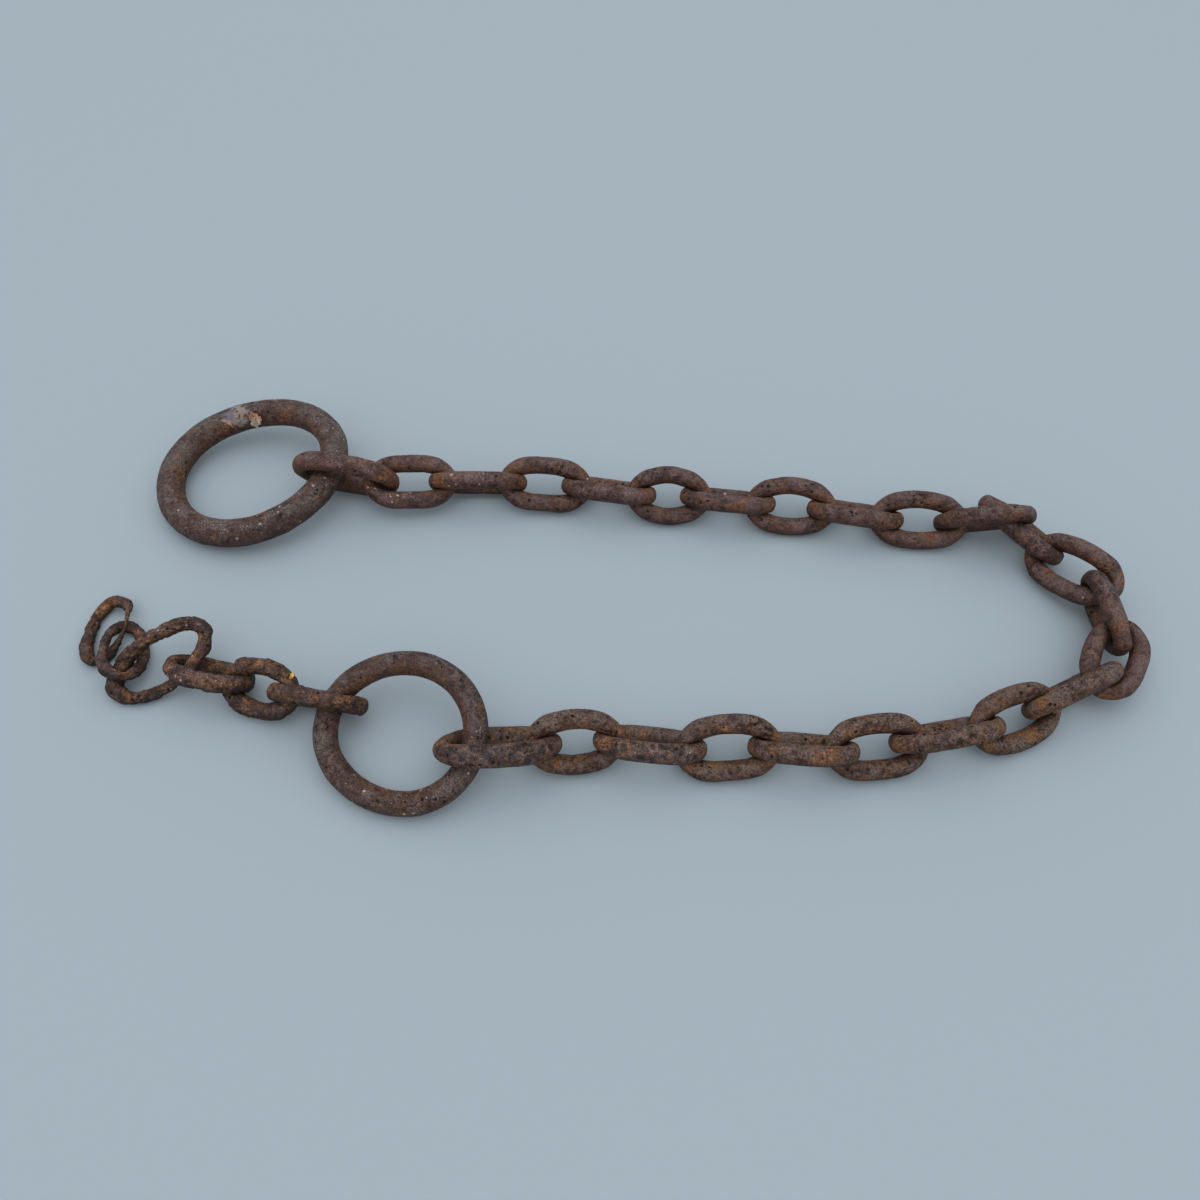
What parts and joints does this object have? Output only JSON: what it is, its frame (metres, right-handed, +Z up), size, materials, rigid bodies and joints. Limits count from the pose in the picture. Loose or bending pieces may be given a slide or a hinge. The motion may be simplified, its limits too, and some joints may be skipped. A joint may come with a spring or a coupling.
{
  "type": "rusty chain",
  "caption": "Old forged iron chain lying loose in a hairpin, with a large ring at one end, a smaller ring part way along, and worn, bent and broken links at the other end.",
  "frame": {"origin": "middle of the bounding box in plan, on the ground the chain lies on", "axes": "+X along the two runs of the hairpin, towards its bend; +Y from the run with the small ring to the run with the large ring; +Z up"},
  "size_m": [0.5016, 0.2404, 0.036],
  "materials": {
    "ring_rust": "dark brown rust over forged iron, pitted",
    "link_rust": "brown rust over forged iron, worn smoother on top, pitted",
    "flaky_rust": "deep flaking rust, orange in the hollows"
  },
  "bodies": {
    "root": {"ring_large": "ring_rust", "link_01": "link_rust", "link_02": "link_rust", "link_03": "link_rust", "link_04": "link_rust", "link_05": "link_rust", "link_06": "link_rust", "link_07": "link_rust", "link_08": "link_rust", "link_09": "link_rust", "link_10": "link_rust", "link_11": "link_rust", "link_12": "link_rust", "link_13": "link_rust", "link_14": "link_rust", "link_15": "link_rust", "link_16": "link_rust", "link_17": "link_rust", "link_18": "link_rust", "link_19": "link_rust", "link_20": "link_rust", "link_21": "link_rust", "link_22": "link_rust", "link_23": "link_rust", "link_24": "link_rust", "ring_small": "ring_rust", "link_25": "flaky_rust", "link_26": "flaky_rust", "link_27": "flaky_rust", "link_28": "flaky_rust", "link_29": "flaky_rust", "link_30": "flaky_rust"}
  },
  "joints": []
}
